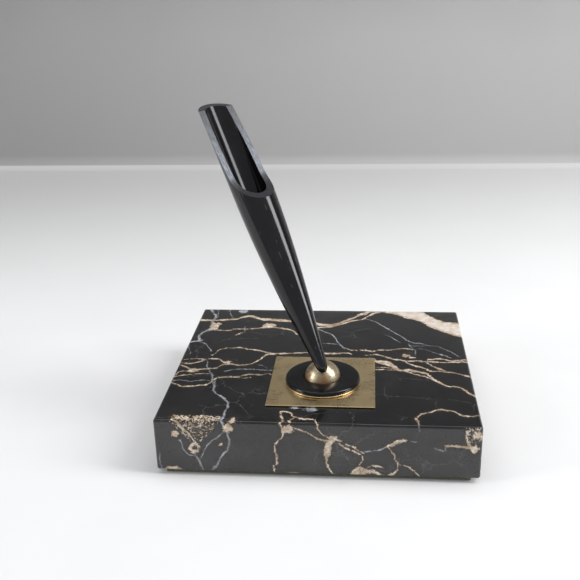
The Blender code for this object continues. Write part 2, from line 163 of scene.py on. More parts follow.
def rounded_box(half, radius, step, nicks, grain):
    """A box with rounded edges and small nicks along them. A higher grain sets the nicks closer."""
    bm = bmesh.new()
    sides = [spread(h, radius, step) for h in half]
    for axis in range(3):
        u, v = [a for a in range(3) if a != axis]
        for sign in (-1.0, 1.0):
            grid = []
            for pu in sides[u]:
                row = []
                for pv in sides[v]:
                    p = Vector((0.0, 0.0, 0.0))
                    p[axis], p[u], p[v] = sign * half[axis], pu, pv
                    core = Vector([max(-(h - radius), min(h - radius, c)) for h, c in zip(half, p)])
                    normal = (p - core).normalized()
                    loss = 0.0
                    edge = 1.0 - max(abs(c) for c in normal)
                    if edge > 0.02:
                        n = noise.noise(p * grain) + 0.5 * noise.noise(p * grain * 2.7)
                        depth = 0.35 * abs(n) + max(0.0, n - 0.45) * 2.2
                        loss = nicks * depth * min(1.0, edge * 5.0)
                    row.append(bm.verts.new(core + normal * (radius - loss)))
                grid.append(row)
            for i in range(len(grid) - 1):
                for j in range(len(grid[0]) - 1):
                    bm.faces.new((grid[i][j], grid[i + 1][j], grid[i + 1][j + 1], grid[i][j + 1]))
    bmesh.ops.remove_doubles(bm, verts=bm.verts, dist=1e-6)
    bmesh.ops.recalc_face_normals(bm, faces=bm.faces)
    return bm


def mesh_object(name, bm, materials, matrix=None, smooth=35.0):
    """An object from a bmesh, shaded smooth up to an angle."""
    mesh = bpy.data.meshes.new(name)
    if matrix is not None:
        bm.transform(matrix)
    bm.to_mesh(mesh)
    bm.free()
    for material in materials:
        mesh.materials.append(material)
    mesh.shade_smooth()
    mesh.set_sharp_from_angle(angle=math.radians(smooth))
    obj = bpy.data.objects.new(name, mesh)
    bpy.context.scene.collection.objects.link(obj)
    return obj


def carve(obj, cutters):
    """Cut shapes out of an object and leave a plain mesh."""
    for cutter in cutters:
        boolean = obj.modifiers.new("Cut", 'BOOLEAN')
        boolean.operation = 'DIFFERENCE'
        boolean.solver = 'EXACT'
        boolean.material_mode = 'TRANSFER'
        boolean.object = cutter
    bpy.context.view_layer.update()
    graph = bpy.context.evaluated_depsgraph_get()
    mesh = bpy.data.meshes.new_from_object(
        obj.evaluated_get(graph), preserve_all_data_layers=True, depsgraph=graph,
    )
    obj.modifiers.clear()
    obj.data = mesh
    for cutter in cutters:
        bpy.data.objects.remove(cutter)


def clean(obj, smooth=35.0):
    """Weld what a cut left doubled and shade again."""
    bm = bmesh.new()
    bm.from_mesh(obj.data)
    bmesh.ops.remove_doubles(bm, verts=bm.verts, dist=5e-7)
    bm.to_mesh(obj.data)
    bm.free()
    obj.data.shade_smooth()
    obj.data.set_sharp_from_angle(angle=math.radians(smooth))


def piece(obj, body, slot, *nodes):
    """Ride on a body and stand for CAD nodes. The slot argument is not used."""
    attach(obj, body)
    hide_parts(*nodes)


# ======== node helpers ========
class Shader:
    """A material and short ways to add nodes to it. Its coordinates can follow a turned frame."""

    def __init__(self, name, turned=None):
        self.material = bpy.data.materials.new(name)
        self.material.use_nodes = True
        self.tree = self.material.node_tree
        self.bsdf = self.tree.nodes["Principled BSDF"]
        self.coords = self.add("ShaderNodeTexCoord").outputs["Object"]
        if turned is not None:
            place = {"Location": turned.translation, "Rotation": turned.to_euler()}
            mapping = self.add("ShaderNodeMapping", {"Vector": self.coords, **place}, vector_type='TEXTURE')
            self.coords = mapping.outputs[0]
        self.mm = self.vector('SCALE', self.coords, scale=1000.0)

    def feed(self, socket, value):
        if isinstance(value, bpy.types.NodeSocket):
            self.tree.links.new(value, socket)
        else:
            socket.default_value = value

    def add(self, kind, inputs=(), **settings):
        node = self.tree.nodes.new(kind)
        for key, value in settings.items():
            setattr(node, key, value)
        for key, value in dict(inputs).items():
            self.feed(node.inputs[key], value)
        return node

    def math(self, operation, a, b=0.0, c=0.0):
        return self.add("ShaderNodeMath", {0: a, 1: b, 2: c}, operation=operation).outputs[0]

    def vector(self, operation, a, b=None, c=None, scale=None):
        node = self.add("ShaderNodeVectorMath", {0: a}, operation=operation)
        if b is not None:
            self.feed(node.inputs[1], b)
        if c is not None:
            self.feed(node.inputs[2], c)
        if scale is not None:
            self.feed(node.inputs["Scale"], scale)
        return node.outputs["Value" if operation in ('LENGTH', 'DISTANCE', 'DOT_PRODUCT') else "Vector"]

    def xyz(self, vector):
        return self.add("ShaderNodeSeparateXYZ", {0: vector}).outputs

    def join(self, x, y, z):
        return self.add("ShaderNodeCombineXYZ", {0: x, 1: y, 2: z}).outputs[0]

    def noise(self, vector, scale, detail=2.0, roughness=0.5, distortion=0.0, colour=False):
        inputs = {
            "Vector": vector, "Scale": scale, "Detail": detail,
            "Roughness": roughness, "Distortion": distortion,
        }
        return self.add("ShaderNodeTexNoise", inputs).outputs[1 if colour else 0]

    def cells(self, vector, scale, feature='F1'):
        inputs = {"Vector": vector, "Scale": scale}
        return self.add("ShaderNodeTexVoronoi", inputs, feature=feature).outputs["Distance"]

    def ramp(self, value, low, high, to_low=0.0, to_high=1.0, smooth=True):
        inputs = {"Value": value, "From Min": low, "From Max": high, "To Min": to_low, "To Max": to_high}
        kind = 'SMOOTHSTEP' if smooth else 'LINEAR'
        return self.add("ShaderNodeMapRange", inputs, interpolation_type=kind).outputs[0]

    def mix(self, factor, a, b):
        node = self.add("ShaderNodeMix", data_type='RGBA')
        self.feed(node.inputs[0], factor)
        for socket, value in ((node.inputs[6], a), (node.inputs[7], b)):
            self.feed(socket, value if isinstance(value, bpy.types.NodeSocket) else (*value, 1.0))
        return node.outputs[2]

    def blend(self, factor, a, b):
        node = self.add("ShaderNodeMix", data_type='FLOAT')
        for socket, value in zip((node.inputs[0], node.inputs[2], node.inputs[3]), (factor, a, b)):
            self.feed(socket, value)
        return node.outputs[0]

    def bump(self, height, strength, distance):
        """Add relief on top of any that is there."""
        node = self.add("ShaderNodeBump", {"Height": height, "Strength": strength, "Distance": distance})
        if self.bsdf.inputs["Normal"].is_linked:
            self.feed(node.inputs["Normal"], self.bsdf.inputs["Normal"].links[0].from_socket)
        self.tree.links.new(node.outputs[0], self.bsdf.inputs["Normal"])

    def set(self, **values):
        for key, value in values.items():
            self.feed(self.bsdf.inputs[key.replace("_", " ")], value)
        return self.material


# ======== marble ========
# The slab's veins as seen from above, in mm from its middle. A vein is a list of (along, across,
# half width) in which "along" rises. THINNED of the half width is drawn, at a right angle to the vein.
GOLD_ACROSS = [
    # left half, back to front
    [(-58, 36.3, .9), (-50, 37, 1.1), (-44, 37.4, 1.0), (-40.5, 38.5, .9), (-38.5, 40.7, 1.1),
     (-35, 41.6, 1.1), (-31, 40, 1.3), (-27, 38.2, 1.4), (-20, 37.8, 1.5), (-8, 36, 1.7), (0, 33.2, 1.7),
     (3, 34.4, 1.0), (8, 38.2, .9), (12, 42, .8), (15, 46, 1.0), (20, 48.6, 1.2), (26, 49, 1.3)],
    [(-49, 26.4, .5), (-45, 26.3, .4), (-42, 26, .5), (-40.3, 28, .6), (-35, 28.3, .4), (-29.5, 28.6, .5),
     (-25.5, 30, 1.2), (-22, 29.7, .6), (-17.5, 29, .7), (-14.5, 26.5, .5), (-12.6, 22.5, .3)],
    [(-39, 21.6, .25), (-37, 23, .3), (-34.3, 25, .3)],
    [(-45, 1.8, .2), (-43.8, 5, .25), (-41, 8.4, .35), (-38, 9.1, .4), (-34.5, 9.3, .5), (-31, 8.1, .5),
     (-27, 7.2, .5), (-23.5, 5.2, .5), (-19, 4.2, .7), (-13, 4.8, .5), (-6, 5.6, .5), (4, 5.6, .7),
     (8, 6, .6), (11, 5, .5)],
    [(-50, -11.2, 1.0), (-45, -10.2, .5), (-41.3, -9.2, .5), (-39.3, -6.2, .6), (-36, -5.7, .7),
     (-33, -6.3, .5), (-29.2, -6.1, .5), (-26.5, -3.4, .5), (-24.6, .2, .5), (-22.5, 3.4, .7),
     (-19, 4, .6)],
    [(-57.5, -2.6, .3), (-52, -1.6, .4), (-45, -1.3, .45), (-42, -1.2, .5), (-40, -3.4, .6), (-37, -5, .9)],
    [(-57.5, -5.2, .35), (-52, -5.7, .4), (-49.3, -4.2, .5), (-46.5, -1.5, .4)],
    [(-57.5, -6.4, .3), (-53, -9, .6), (-50, -11, .8)],
    [(-57.4, -17.6, .7), (-56, -15, .5), (-54.6, -12.7, .4), (-51, -12.6, .5), (-48.5, -12, .6)],
    [(-56.5, -17.3, .4), (-52, -15.4, .4), (-46, -14.2, .35), (-42.5, -14.6, .4)],
    [(-57, -21, .35), (-54, -23.6, .4), (-50.5, -24.6, .5), (-46, -23.9, .45), (-42.6, -22.8, .45),
     (-41, -20.3, .5), (-40, -17.6, .5), (-37, -16.9, .6), (-32, -16.2, .7), (-30, -14.8, .6),
     (-26, -14.1, .5), (-23, -14.9, .5), (-20.7, -13, .4), (-19.3, -14.6, .3)],
    [(-33, -16.7, .3), (-27.3, -16.8, .3)],
    # right half
    [(-5, 30, .8), (0, 31, .8), (5, 33.5, .8), (10, 37.4, .7), (13, 39, .5), (16, 40.5, .6), (18, 44.2, .8),
     (22, 47.4, .9)],
    [(5, 36.5, .4), (9, 40, .5), (13, 43, .4), (17, 46, .6)],
    [(9, 10.3, .3), (11, 8.7, .4), (18, 8.4, .45), (20, 8, .7), (22.5, 8.9, .45), (27, 9.6, .45),
     (31, 10.5, .5), (36, 9.9, .35)],
    [(17, 4.6, .3), (20.5, 5, .5), (24, 3.6, .5), (28, 1.2, .5), (33, -.1, .7), (40, -.5, .5), (47, -.9, .6),
     (58, -.4, .6)],
    [(19, 1.5, .8), (22.5, -1.5, 1.7), (25.5, -2.5, 2.4), (28.5, -5.5, 1.0), (30, -8, .6)],
    [(19, -6.2, .3), (27, -6.6, .35), (30, -8, .8), (34, -8.6, .9), (38, -9.7, .7), (40.7, -11.2, .7),
     (42.3, -14.5, .8), (44.6, -18.2, .6), (47, -20.4, .5), (51, -21.1, .5), (54, -24, .6), (58, -28.8, .6)],
    [(19, -8.2, .3), (29, -8.4, .3), (36, -11.2, .5), (40, -13.5, .5), (43, -17, .4)],
    [(33, -.4, .6), (35.3, -3.4, .7), (39, -6.6, .7), (43, -8.6, .6), (48, -9.1, .5), (53, -11, .45),
     (58, -13.3, .5)],
    [(41, -1, .4), (44, -5, .5), (47.5, -8.6, .5)],
    [(41.5, .4, .4), (44.5, 1.7, .6), (47, 1.9, .7), (50, .4, .5), (54, 1.2, .6), (58, 1.6, .5)],
    [(35.2, -46, .3), (35.4, -43.6, .3), (36.6, -41.5, .35), (40, -39.6, .4), (44, -38.4, .4),
     (47.3, -38.9, .4), (50, -41.2, .4), (53, -42.3, .5), (58, -42, .3)],
    # front middle
    [(-12.4, -42.3, .5), (-10, -42, .4), (-8.6, -43.4, .4), (-7.2, -46, .4), (-4, -46.7, .5),
     (-.8, -46.9, .4), (.3, -48.2, .35), (1, -50.5, .35)],
]
GOLD_DOWN = [  # along y, across x
    [(-51, -12.3, .6), (-48, -11.4, .45), (-45, -11.9, .4), (-42, -12.4, .35)],
    [(-51, 36, .3), (-47.5, 35.4, .35), (-44.5, 35, .35)],
    [(-51, -8.2, .4), (-48, -9.6, .4), (-46.5, -7.5, .4)],
]
WHITE_ACROSS = [
    [(-57.6, 12.3, .5), (-56, 14.2, .6), (-54, 15.3, .7), (-52, 15.9, .6)],
    [(-57.5, -20.2, .2), (-53.5, -20.1, .3), (-50, -20.6, .3), (-45, -19.5, .3), (-41.5, -20.6, .3)],
    [(-38, -12, .25), (-34, -10.2, .35), (-28, -9.8, .35), (-19, -10.5, .3)],
    [(-25.5, -5.6, .15), (-19.5, -9.9, .2)],
    [(-53, 14.6, .3), (-49.2, 12, .3), (-47.6, 8.8, .3), (-46.2, 5.4, .3)],
    [(17, 40, .3), (20, 38.3, .35), (24, 33.5, .4), (28, 28, .5), (32, 22, .45), (35, 17.9, .3),
     (40, 15.6, .25), (42, 14, .2)],
    [(25, 24, .15), (29, 19.5, .3), (31.5, 15.6, .2)],
    [(35.5, 13.7, .2), (42, 13.8, .2), (46, 13.3, .25), (48, 11, .25), (51, 8, .25), (54, 4, .2)],
    [(38, 10.6, .15), (42, 9.4, .2), (46, 6.5, .3), (50, 4, .25), (51.2, 2, .15)],
    [(-1.5, 15.1, .35), (2, 14.8, .35), (5.6, 13.7, .35)],
    [(-3.5, 29.5, .5), (-1, 26.4, .4), (2, 23.4, .4), (4, 20, .4), (5.4, 16.2, .4), (6.3, 13.6, .4),
     (9, 10.4, .4), (11, 8.8, .3)],
]
WHITE_DOWN = [  # along y, across x
    [(15.5, -53, .9), (20, -54, .7), (23.5, -53.6, .8), (26.5, -50.4, 1.3), (31, -49.8, 1.0),
     (36, -50.6, .9), (41, -50.5, .7), (45, -52, .6), (50.5, -54.2, .5)],
    [(41, -49.6, .2), (46, -50, .25), (50.5, -51, .2)],
    [(38, -42, .25), (42, -43.5, .3), (47, -45, .25), (50.5, -45.5, .2)],
    [(-24, -39.8, .35), (-20, -41, .35), (-16, -42, .6), (-12, -43.8, .35), (-7, -45, .25),
     (-1.5, -46.4, .2)],
    [(-50.5, -33, .5), (-43, -32.5, .5), (-38, -32.2, .5), (-34.5, -34, .45), (-31.6, -36, .45),
     (-29.5, -38.2, .5), (-24, -39.7, .4), (-19, -40.2, .3)],
    [(2.5, -54.4, .15), (8, -55.5, .2), (12.3, -57, .2)],
    [(5, 36.4, .15), (9, 36.5, .25), (13, 35.4, .3), (16, 35, .2)],
    [(26, -35, .15), (31, -35.8, .15)],
]
CREAM_PATCH = [  # the wide cream band over the back right corner, half widths straight across
    [(22, 49.5, .6), (25, 49.4, 2.2), (30, 48.4, 4), (35, 46.8, 7), (41.5, 43.4, 8), (44, 39.5, 8.7),
     (46.5, 36.2, 7.9), (50, 33, 7.6), (53.5, 31, 8.5), (58, 29.6, 9.4)],
]
GOLD_BLOBS = [  # centre and half sizes
    (-25.3, 31.5, 2.6, 2.6), (-50, -11.4, 2.3, 1.6), (-37.8, -4, 1.8, 1.0), (-29, -48.6, .9, 1.6),
    (33, 4.3, 1.4, 1.1), (35.3, 2.6, 1.3, .8), (-49.5, 30, 1.6, 3.4), (-47.5, 33, 1.5, 1.2),
]
WHITE_BLOBS = [
    (-38.8, 47.6, 2.0, 2.7), (-52.6, 16.2, 1.3, 1.0), (-1.8, -40, 2.1, 1.5), (-7.3, -39, 1.7, .6),
]

# The front face, z from the floor: ACROSS veins are (x, z, half width), DOWN veins (z, x, half width).
FRONT_GOLD_ACROSS = [
    [(-49.5, 22.5, .8), (-48, 20.3, .5), (-46.3, 18.5, .6), (-44.5, 16.8, .5), (-43.2, 14.4, .45)],
    [(-11, 19.6, 1.0), (-8, 20.6, .5), (-5, 19.7, .35), (-2, 18.4, .4), (0, 16.7, .4), (3, 15.6, .4),
     (5.2, 15.7, .5)],
    [(.9, 20.5, .35), (2, 18.5, .35), (4.5, 17.1, .5), (6.4, 16.5, .8), (9, 15.6, .35)],
    [(8, 15, .3), (11, 13.1, .35), (14, 11.3, .35), (15.8, 10.2, .35)],
    [(10.8, 14.6, .2), (13, 13.6, .3), (14.8, 12.2, .35), (16.4, 11, .3)],
    [(24.6, 14, .6), (27, 15.1, .9), (29.5, 16.2, .8), (31.5, 16.7, .4)],
    [(28.6, 7.1, .35), (32, 6.1, .3), (34.5, 4.5, .35), (36.6, 1.5, .3)],
    [(12.8, 2.4, 1.2), (14.6, 3.6, 2.2), (16.3, 3.8, 1.9), (18.5, 3.6, .9), (20.5, 3.6, .9),
     (22.5, 2.2, .8), (24.4, 1.6, .4)],
    [(18, 5.2, .3), (20.5, 5.9, .4), (23.6, 5.5, .3)],
    [(25.3, 2.3, .6), (27.3, 3, .8), (28.6, 4.6, .4)],
    [(44.6, 14.6, .4), (46, 14.9, .5), (50, 14.7, .6), (53, 14.3, .8), (55.8, 14, .8)],
    [(-55, 1.9, .6), (-52, 2.7, 1.3), (-49.6, 2.6, 1.1), (-47.5, 1.6, .5)],
    [(-10.5, 1.9, .4), (-8, 2, .6), (-6, 1.8, .4)],
]
FRONT_GOLD_DOWN = [
    [(1.4, -15, .35), (5, -14.9, .3), (5.3, -13.9, .4), (9, -13.8, .4), (12.5, -14.3, .35),
     (15, -13.4, .35), (17, -11.6, .35), (19, -11.2, .6), (22.5, -12.2, .4)],
    [(1.4, 6.4, .25), (3.5, 5, .25), (6, 4, .3), (8.4, 3.7, .5), (9.6, 3.8, 1.4), (12.4, 4.3, 1.7),
     (15.6, 5.1, .8)],
    [(3, 27.6, .4), (5, 28.7, .35), (7.2, 28.8, .4), (9, 27.8, .35), (10.6, 27.6, .4), (12.2, 26.4, .35),
     (14.2, 24.8, .5)],
    [(14, 53.6, .9), (16.5, 52.3, .4), (19, 51.6, .5), (21.5, 52.6, .5)],
    [(20, 1, .35), (22.5, .9, .35)],
    [(6, 15.3, .5), (8.4, 16.5, .35), (10, 16.2, .35)],
]
FRONT_WHITE_ACROSS = [
    [(-48, 14.8, .2), (-47.2, 12.2, .25), (-46.6, 9.9, .25), (-45, 8.4, .3), (-42.6, 8.3, .3)],
    [(-40.8, 6.6, .2), (-40, 9.4, .25), (-38, 12.4, .25), (-35, 15.6, .3), (-32, 18.4, .3)],
    [(-37.8, 1.4, .45), (-35, 5, .4), (-33.4, 8.1, .4), (-31, 10.8, .4)],
    [(15.6, 11.8, .15), (20, 12, .2), (22, 12.6, .25), (24.6, 14.1, .3)],
    [(41, 14, .15), (43, 13, .3), (44.7, 12.7, .3)],
    [(33, 16.4, .2), (34.2, 16, .4), (35.4, 16.3, .2)],
]
FRONT_WHITE_DOWN = [
    [(1.4, -40.1, .35), (6, -41.6, .4), (9.4, -43, .35)],
    [(10.8, -30.9, .35), (14, -30.6, .4), (18, -31, .4), (22.5, -32.7, .5)],
    [(1.6, -55.2, .25), (5, -55.8, .3), (9, -55.4, .15)],
    [(12.6, 44.6, .25), (14.6, 45, .3)],
    [(20, 35.9, .15), (22.5, 35.5, .25)],
]
FRONT_GOLD_BLOBS = [
    (-49.4, 17, 1.2, 1.2), (-30.5, 19.9, 1.6, 1.8), (-29, 22.3, 1.2, .9), (-9.4, 19.9, 2.1, 1.7),
    (54.2, 13.8, 1.6, 1.5), (-33.2, 12.9, .8, .6), (6, 16.4, 1.4, 1.2), (-43, 11.1, 2.1, 2.0),
    (55.6, 18.8, 1.7, 1.6),
]
FRONT_GOLD_HOLES = [(-42.6, 11.2, .9, .9), (54.3, 17.3, 1.4, .8)]

SPAN = 120.0            # the veins' curves run over this many mm
START = -SPAN / 2       # and begin here
FRONT_SPAN = 24.0       # those up the front face run from the floor to this height
LIFT = 1.5              # mm added to a half width so that a curve never goes below nothing
THINNED = 0.8           # share of a listed half width that is drawn
STEEPEST = 2.6          # a slanting vein is widened straight across by up to this factor


def set_curve(curve, points, straight):
    """Put points on one curve of a node."""
    points = sorted(points)
    curve.points[0].location = points[0]
    curve.points[1].location = points[-1]
    for location in points[1:-1]:
        curve.points.new(*location)
    for point in curve.points:
        point.handle_type = 'VECTOR' if straight else 'AUTO_CLAMPED'


def vein_points(vein, low, span, base, raw):
    """The path and the width of a vein as points of two curves between 0 and 1."""
    path = [((a - low) / span, (b - base) / SPAN) for a, b, _ in vein]
    width = []
    for i, (a, _, w) in enumerate(vein):
        before = vein[max(0, i - 1)]
        after = vein[min(len(vein) - 1, i + 1)]
        slope = (after[1] - before[1]) / max(0.2, after[0] - before[0])
        steep = 1.0 if raw else min(STEEPEST, math.hypot(1.0, slope))
        width.append((a, THINNED * w * steep + LIFT))
    # past its ends a vein comes to a point, and where there is room its width falls to nothing
    first, last = vein[0][0], vein[-1][0]
    taper = 0.5 if span == FRONT_SPAN else 1.2
    room = taper + 1.0
    fall = 0.7
    pointed = LIFT - 0.6
    width = [(first - taper, pointed)] + width + [(last + taper, pointed)]
    if first - low > room:
        width.insert(0, (first - taper - fall, 0.0))
    if low + span - last > room:
        width.append((last + taper + fall, 0.0))
    scaled = [(min(1.0, max(0.0, (a - low) / span)), w / SPAN) for a, w in width]
    return path, scaled


def veins(s, groups, along, across, low, span, base, raw=False):
    """How far a point lies inside the nearest vein, in mm. Three veins share each pair of curves."""
    position = s.math('MULTIPLY_ADD', along, 1.0 / span, -low / span)
    height = s.math('MULTIPLY_ADD', across, 1.0 / SPAN, -base / SPAN)
    position3 = s.join(position, position, position)
    height3 = s.join(height, height, height)
    best = None
    for start in range(0, len(groups), 3):
        three = groups[start:start + 3]
        paths = s.add("ShaderNodeVectorCurve", {"Vector": position3})
        widths = s.add("ShaderNodeVectorCurve", {"Vector": position3})
        for channel in range(3):
            if channel < len(three):
                path, width = vein_points(three[channel], low, span, base, raw)
                set_curve(paths.mapping.curves[channel], path, False)
                set_curve(widths.mapping.curves[channel], width, True)
            else:
                set_curve(widths.mapping.curves[channel], [(0.0, 0.0), (1.0, 0.0)], True)
        for node in (paths, widths):
            node.mapping.extend = 'HORIZONTAL'
            node.mapping.update()
        gap = s.vector('ABSOLUTE', s.vector('SUBTRACT', height3, paths.outputs[0]))
        inside = s.vector('SUBTRACT', widths.outputs[0], gap)
        best = inside if best is None else s.vector('MAXIMUM', best, inside)
    x, y, z = s.xyz(best)
    most = s.math('MAXIMUM', s.math('MAXIMUM', x, y), z)
    return s.math('MULTIPLY_ADD', most, SPAN, -LIFT)


def blobs(s, places, point, so_far):
    """Add ragged round patches to a field of distances."""
    ragged = s.math('MULTIPLY_ADD', s.noise(s.mm, 0.85, 3.0, 0.65), 2.4, -1.2)
    for cx, cy, rx, ry in places:
        scaled = s.vector('MULTIPLY_ADD', point, (1 / rx, 1 / ry, 0.0), (-cx / rx, -cy / ry, 0.0))
        inside = s.math('MULTIPLY_ADD', s.vector('LENGTH', scaled), -min(rx, ry), min(rx, ry))
        inside = s.math('ADD', inside, ragged)
        so_far = inside if so_far is None else s.math('MAXIMUM', so_far, inside)
    return so_far


def both_ways(s, across, down, x, y, low=START, height=SPAN):
    """Veins along x and veins along the other axis, as one field."""
    return s.math(
        'MAXIMUM',
        veins(s, across, x, y, START, SPAN, low),
        veins(s, down, y, x, low, height, START),
    )


def top_veins(s, point):
    """The gold, white and cream-band fields of the top. They also run on down the sides."""
    x, y, _ = s.xyz(point)
    gold = both_ways(s, GOLD_ACROSS, GOLD_DOWN, x, y)
    band = veins(s, CREAM_PATCH, x, y, START, SPAN, START, raw=True)
    gold = blobs(s, GOLD_BLOBS, point, s.math('MAXIMUM', gold, band))
    white = blobs(s, WHITE_BLOBS, point, both_ways(s, WHITE_ACROSS, WHITE_DOWN, x, y))
    return gold, white, band


def front_veins(s, point):
    """The gold and white fields of the front face."""
    x, z, _ = s.xyz(point)
    gold = both_ways(s, FRONT_GOLD_ACROSS, FRONT_GOLD_DOWN, x, z, 0.0, FRONT_SPAN)
    gold = blobs(s, FRONT_GOLD_BLOBS, point, gold)
    holes = blobs(s, FRONT_GOLD_HOLES, point, None)
    gold = s.math('MINIMUM', gold, s.math('MULTIPLY', holes, -1.0))
    return gold, both_ways(s, FRONT_WHITE_ACROSS, FRONT_WHITE_DOWN, x, z, 0.0, FRONT_SPAN)


def off_middle(s, value, middle):
    """How far a coordinate is from a middle, in mm."""
    return s.math('ABSOLUTE', s.math('ADD', value, -middle))


def crumbs(s, on_top, on_front):
    """The speckled patches by the front edge, as fields on the top and on the front face."""
    patch_x = -42.3
    patch_foot, patch_head, patch_half = 11.5, 22.0, 9.0
    corner_place, corner_radius = (54.5, 19.8, 0.0), 3.6
    ledge_x, ledge_half, ledge_y = -42.0, 8.6, -46.0
    fine = s.noise(s.mm, 1.5, 3.0, 0.62)
    x, z, _ = s.xyz(on_front)
    reach = s.ramp(z, patch_foot, patch_head, 0.0, patch_half, smooth=False)
    wedge = s.math('SUBTRACT', reach, off_middle(s, x, patch_x))
    corner = s.math('SUBTRACT', corner_radius, s.vector('DISTANCE', on_front, corner_place))
    front = s.math('MAXIMUM', wedge, corner)
    front = s.math('MINIMUM', front, s.math('MULTIPLY_ADD', fine, 9.0, -5.0))
    x, y, _ = s.xyz(on_top)
    ledge = s.math('SUBTRACT', ledge_half, off_middle(s, x, ledge_x))
    ledge = s.math('MINIMUM', ledge, s.math('SUBTRACT', ledge_y, y))
    ledge = s.math('MINIMUM', ledge, s.math('MULTIPLY_ADD', fine, 9.0, -4.3))
    return ledge, front


def hairlines(s, warp):
    """Faint cracks through the whole stone, coarse and fine, each only in some places."""
    point = s.vector('MULTIPLY', s.mm, (1.0, 1.35, 1.0))
    point = s.vector('ADD', point, s.vector('SCALE', warp, scale=2.4))
    coarse = s.cells(point, 0.055, 'DISTANCE_TO_EDGE')
    veil = s.ramp(s.noise(s.mm, 0.05, 2.0), 0.45, 0.62)
    coarse = s.math('MULTIPLY', s.ramp(coarse, 0.0, 0.013, 0.16, 0.0), veil)
    fine = s.cells(point, 0.17, 'DISTANCE_TO_EDGE')
    veil = s.ramp(s.noise(s.mm, 0.09, 2.0), 0.55, 0.7)
    fine = s.math('MULTIPLY', s.ramp(fine, 0.0, 0.025, 0.08, 0.0), veil)
    return s.math('MAXIMUM', coarse, fine)


def dark_stone(s, sides, halo, hair):
    """The black between the veins: clouded, flecked, duller on the sides and brown by the gold."""
    clouds = s.noise(s.mm, 0.07, 5.0, 0.6)
    flecks = s.ramp(s.noise(s.mm, 1.1, 2.0, 0.6), 0.66, 0.78)
    black = s.mix(s.ramp(clouds, 0.35, 0.7), (0.0065, 0.0065, 0.0075), (0.014, 0.0137, 0.014))
    dull = s.mix(s.ramp(clouds, 0.35, 0.7), (0.033, 0.033, 0.035), (0.050, 0.048, 0.048))
    black = s.mix(sides, black, dull)
    black = s.mix(s.math('MULTIPLY', flecks, 0.3), black, (0.05, 0.05, 0.052))
    black = s.mix(halo, black, (0.030, 0.021, 0.015))
    return s.mix(hair, black, (0.42, 0.42, 0.42))


def cream_stone(s, body, band):
    """The gold veins' cream with brown stains, and the cleaner cream of the wide band."""
    cream = s.mix(s.ramp(body, 0.38, 0.66), (0.40, 0.29, 0.19), (0.80, 0.70, 0.57))
    cream = s.mix(s.ramp(s.noise(s.mm, 1.6, 2.0), 0.58, 0.72, 0.0, 0.6), cream, (0.22, 0.125, 0.06))
    pale = s.ramp(band, 0.4, 3.0)
    clean_cream = s.mix(s.ramp(body, 0.3, 0.7), (0.62, 0.50, 0.40), (0.80, 0.74, 0.67))
    return s.mix(pale, cream, clean_cream)


